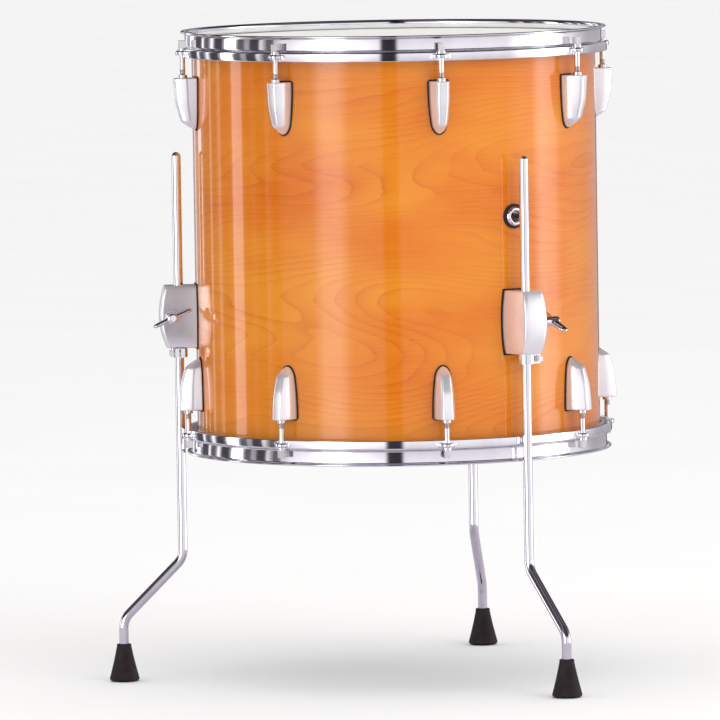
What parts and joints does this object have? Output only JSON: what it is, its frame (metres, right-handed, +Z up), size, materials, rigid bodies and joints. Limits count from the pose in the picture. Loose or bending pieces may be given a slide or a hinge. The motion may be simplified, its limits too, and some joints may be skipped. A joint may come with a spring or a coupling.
{
  "type": "floor tom drum",
  "caption": "Wooden floor tom drum: round shell, two heads under chromed hoops with tension rods and lugs, on bent legs held by clamping brackets.",
  "frame": {"origin": "centre of the upper (batter) head's playing face", "axes": "+Z up out of the playing face, -Y towards the front with the air vent and the front leg, +X to the right seen from the front"},
  "size_m": [0.4968, 0.5085, 0.6545],
  "materials": {
    "lacquered_maple": "amber stained maple under clear gloss lacquer",
    "chrome": "polished chrome plate",
    "plated_steel": "bright nickel plated steel",
    "cast_block": "plain cast",
    "black_gasket": "matt black gasket",
    "black_rubber": "matt dark rubber",
    "coated_film": "white sprayed coating",
    "clear_film": "clear polyester film",
    "aluminium_ring": "satin aluminium channel"
  },
  "bodies": {
    "root": {"shell": "lacquered_maple", "vent_grommet": "chrome", "vent_washer": "black_gasket", "batter_lugs": "chrome", "resonant_lugs": "chrome", "batter_lug_gaskets": "black_gasket", "resonant_lug_gaskets": "black_gasket", "batter_swivel_nuts": "plated_steel", "resonant_swivel_nuts": "plated_steel", "lug_screws": "plated_steel", "lug_screw_washers": "plated_steel", "front_leg_bracket": "chrome", "left_leg_bracket": "chrome", "back_leg_bracket": "chrome", "leg_bracket_gaskets": "black_gasket", "bracket_screws": "plated_steel", "bracket_screw_washers": "plated_steel", "wing_bolt_washers": "chrome"},
    "batter_hoop": {"batter_hoop": "chrome", "batter_head_film": "coated_film", "batter_flesh_hoop": "aluminium_ring", "batter_rod_washers": "chrome"},
    "batter_tension_rod_1": {"batter_tension_rod_1": "plated_steel"},
    "batter_tension_rod_2": {"batter_tension_rod_2": "plated_steel"},
    "batter_tension_rod_3": {"batter_tension_rod_3": "plated_steel"},
    "batter_tension_rod_4": {"batter_tension_rod_4": "plated_steel"},
    "batter_tension_rod_5": {"batter_tension_rod_5": "plated_steel"},
    "batter_tension_rod_6": {"batter_tension_rod_6": "plated_steel"},
    "batter_tension_rod_7": {"batter_tension_rod_7": "plated_steel"},
    "batter_tension_rod_8": {"batter_tension_rod_8": "plated_steel"},
    "resonant_hoop": {"resonant_hoop": "chrome", "resonant_head_film": "clear_film", "resonant_flesh_hoop": "aluminium_ring", "resonant_rod_washers": "chrome"},
    "resonant_tension_rod_1": {"resonant_tension_rod_1": "plated_steel"},
    "resonant_tension_rod_2": {"resonant_tension_rod_2": "plated_steel"},
    "resonant_tension_rod_3": {"resonant_tension_rod_3": "plated_steel"},
    "resonant_tension_rod_4": {"resonant_tension_rod_4": "plated_steel"},
    "resonant_tension_rod_5": {"resonant_tension_rod_5": "plated_steel"},
    "resonant_tension_rod_6": {"resonant_tension_rod_6": "plated_steel"},
    "resonant_tension_rod_7": {"resonant_tension_rod_7": "plated_steel"},
    "resonant_tension_rod_8": {"resonant_tension_rod_8": "plated_steel"},
    "front_lock": {"front_memory_lock": "chrome", "front_lock_screw": "plated_steel"},
    "front_leg": {"front_leg": "chrome", "front_foot": "black_rubber"},
    "front_wing_bolt": {"front_wing_bolt": "chrome"},
    "front_clamp_block": {"front_clamp_block": "cast_block"},
    "left_lock": {"left_memory_lock": "chrome", "left_lock_screw": "plated_steel"},
    "left_leg": {"left_leg": "chrome", "left_foot": "black_rubber"},
    "left_wing_bolt": {"left_wing_bolt": "chrome"},
    "left_clamp_block": {"left_clamp_block": "cast_block"},
    "back_lock": {"back_memory_lock": "chrome", "back_lock_screw": "plated_steel"},
    "back_leg": {"back_leg": "chrome", "back_foot": "black_rubber"},
    "back_wing_bolt": {"back_wing_bolt": "chrome"},
    "back_clamp_block": {"back_clamp_block": "cast_block"}
  },
  "joints": [
    {"name": "batter_head_slack", "type": "slide", "parent": "root", "child": "batter_hoop", "axis": [0, 0, 1], "range_m": [0, 0.006]},
    {"name": "batter_rod_1_turn", "type": "hinge", "parent": "batter_hoop", "child": "batter_tension_rod_1", "pos_m": [0.08285, -0.20002, -0.0078], "axis": [0, 0, 1], "range_deg": [0, 2050]},
    {"name": "batter_rod_2_turn", "type": "hinge", "parent": "batter_hoop", "child": "batter_tension_rod_2", "pos_m": [0.20002, -0.08285, -0.0078], "axis": [0, 0, 1], "range_deg": [0, 2050]},
    {"name": "batter_rod_3_turn", "type": "hinge", "parent": "batter_hoop", "child": "batter_tension_rod_3", "pos_m": [0.20002, 0.08285, -0.0078], "axis": [0, 0, 1], "range_deg": [0, 2050]},
    {"name": "batter_rod_4_turn", "type": "hinge", "parent": "batter_hoop", "child": "batter_tension_rod_4", "pos_m": [0.08285, 0.20002, -0.0078], "axis": [0, 0, 1], "range_deg": [0, 2050]},
    {"name": "batter_rod_5_turn", "type": "hinge", "parent": "batter_hoop", "child": "batter_tension_rod_5", "pos_m": [-0.08285, 0.20002, -0.0078], "axis": [0, 0, 1], "range_deg": [0, 2050]},
    {"name": "batter_rod_6_turn", "type": "hinge", "parent": "batter_hoop", "child": "batter_tension_rod_6", "pos_m": [-0.20002, 0.08285, -0.0078], "axis": [0, 0, 1], "range_deg": [0, 2050]},
    {"name": "batter_rod_7_turn", "type": "hinge", "parent": "batter_hoop", "child": "batter_tension_rod_7", "pos_m": [-0.20002, -0.08285, -0.0078], "axis": [0, 0, 1], "range_deg": [0, 2050]},
    {"name": "batter_rod_8_turn", "type": "hinge", "parent": "batter_hoop", "child": "batter_tension_rod_8", "pos_m": [-0.08285, -0.20002, -0.0078], "axis": [0, 0, 1], "range_deg": [0, 2050]},
    {"name": "resonant_head_slack", "type": "slide", "parent": "root", "child": "resonant_hoop", "axis": [0, 0, -1], "range_m": [0, 0.006]},
    {"name": "resonant_rod_1_turn", "type": "hinge", "parent": "resonant_hoop", "child": "resonant_tension_rod_1", "pos_m": [0.08285, -0.20002, -0.3994], "axis": [0, 0, -1], "range_deg": [0, 2050]},
    {"name": "resonant_rod_2_turn", "type": "hinge", "parent": "resonant_hoop", "child": "resonant_tension_rod_2", "pos_m": [0.20002, -0.08285, -0.3994], "axis": [0, 0, -1], "range_deg": [0, 2050]},
    {"name": "resonant_rod_3_turn", "type": "hinge", "parent": "resonant_hoop", "child": "resonant_tension_rod_3", "pos_m": [0.20002, 0.08285, -0.3994], "axis": [0, 0, -1], "range_deg": [0, 2050]},
    {"name": "resonant_rod_4_turn", "type": "hinge", "parent": "resonant_hoop", "child": "resonant_tension_rod_4", "pos_m": [0.08285, 0.20002, -0.3994], "axis": [0, 0, -1], "range_deg": [0, 2050]},
    {"name": "resonant_rod_5_turn", "type": "hinge", "parent": "resonant_hoop", "child": "resonant_tension_rod_5", "pos_m": [-0.08285, 0.20002, -0.3994], "axis": [0, 0, -1], "range_deg": [0, 2050]},
    {"name": "resonant_rod_6_turn", "type": "hinge", "parent": "resonant_hoop", "child": "resonant_tension_rod_6", "pos_m": [-0.20002, 0.08285, -0.3994], "axis": [0, 0, -1], "range_deg": [0, 2050]},
    {"name": "resonant_rod_7_turn", "type": "hinge", "parent": "resonant_hoop", "child": "resonant_tension_rod_7", "pos_m": [-0.20002, -0.08285, -0.3994], "axis": [0, 0, -1], "range_deg": [0, 2050]},
    {"name": "resonant_rod_8_turn", "type": "hinge", "parent": "resonant_hoop", "child": "resonant_tension_rod_8", "pos_m": [-0.08285, -0.20002, -0.3994], "axis": [0, 0, -1], "range_deg": [0, 2050]},
    {"name": "front_leg_height", "type": "slide", "parent": "root", "child": "front_lock", "axis": [0, 0, -1], "range_m": [0, 0.12]},
    {"name": "front_leg_turn", "type": "hinge", "parent": "front_lock", "child": "front_leg", "pos_m": [0, -0.221, -0.3], "axis": [0, 0, 1], "continuous": true},
    {"name": "front_wing_turn", "type": "hinge", "parent": "root", "child": "front_wing_bolt", "pos_m": [0, -0.229, -0.2775], "axis": [1, 0, 0], "range_deg": [0, 721]},
    {"name": "front_clamp_travel", "type": "slide", "parent": "root", "child": "front_clamp_block", "axis": [-1, 0, 0], "range_m": [0, 0.002]},
    {"name": "left_leg_height", "type": "slide", "parent": "root", "child": "left_lock", "axis": [0, 0, -1], "range_m": [0, 0.12]},
    {"name": "left_leg_turn", "type": "hinge", "parent": "left_lock", "child": "left_leg", "pos_m": [-0.19139, 0.1105, -0.3], "axis": [0, 0, 1], "continuous": true},
    {"name": "left_wing_turn", "type": "hinge", "parent": "root", "child": "left_wing_bolt", "pos_m": [-0.19832, 0.1145, -0.2775], "axis": [-0.5, -0.866, 0], "range_deg": [0, 721]},
    {"name": "left_clamp_travel", "type": "slide", "parent": "root", "child": "left_clamp_block", "axis": [0.5, 0.866, 0], "range_m": [0, 0.002]},
    {"name": "back_leg_height", "type": "slide", "parent": "root", "child": "back_lock", "axis": [0, 0, -1], "range_m": [0, 0.12]},
    {"name": "back_leg_turn", "type": "hinge", "parent": "back_lock", "child": "back_leg", "pos_m": [0.18103, 0.12676, -0.3], "axis": [0, 0, 1], "continuous": true},
    {"name": "back_wing_turn", "type": "hinge", "parent": "root", "child": "back_wing_bolt", "pos_m": [0.18759, 0.13135, -0.2775], "axis": [-0.5736, 0.8192, 0], "range_deg": [0, 721]},
    {"name": "back_clamp_travel", "type": "slide", "parent": "root", "child": "back_clamp_block", "axis": [0.5736, -0.8192, 0], "range_m": [0, 0.002]}
  ],
  "couplings": [
    {"joint": "batter_rod_1_turn", "follows": "batter_head_slack", "rad_per_m": 5936.9},
    {"joint": "batter_rod_2_turn", "follows": "batter_head_slack", "rad_per_m": 5936.9},
    {"joint": "batter_rod_3_turn", "follows": "batter_head_slack", "rad_per_m": 5936.9},
    {"joint": "batter_rod_4_turn", "follows": "batter_head_slack", "rad_per_m": 5936.9},
    {"joint": "batter_rod_5_turn", "follows": "batter_head_slack", "rad_per_m": 5936.9},
    {"joint": "batter_rod_6_turn", "follows": "batter_head_slack", "rad_per_m": 5936.9},
    {"joint": "batter_rod_7_turn", "follows": "batter_head_slack", "rad_per_m": 5936.9},
    {"joint": "batter_rod_8_turn", "follows": "batter_head_slack", "rad_per_m": 5936.9},
    {"joint": "resonant_rod_1_turn", "follows": "resonant_head_slack", "rad_per_m": 5936.9},
    {"joint": "resonant_rod_2_turn", "follows": "resonant_head_slack", "rad_per_m": 5936.9},
    {"joint": "resonant_rod_3_turn", "follows": "resonant_head_slack", "rad_per_m": 5936.9},
    {"joint": "resonant_rod_4_turn", "follows": "resonant_head_slack", "rad_per_m": 5936.9},
    {"joint": "resonant_rod_5_turn", "follows": "resonant_head_slack", "rad_per_m": 5936.9},
    {"joint": "resonant_rod_6_turn", "follows": "resonant_head_slack", "rad_per_m": 5936.9},
    {"joint": "resonant_rod_7_turn", "follows": "resonant_head_slack", "rad_per_m": 5936.9},
    {"joint": "resonant_rod_8_turn", "follows": "resonant_head_slack", "rad_per_m": 5936.9},
    {"joint": "front_wing_turn", "follows": "front_clamp_travel", "rad_per_m": 6283.2},
    {"joint": "left_wing_turn", "follows": "left_clamp_travel", "rad_per_m": 6283.2},
    {"joint": "back_wing_turn", "follows": "back_clamp_travel", "rad_per_m": 6283.2}
  ]
}
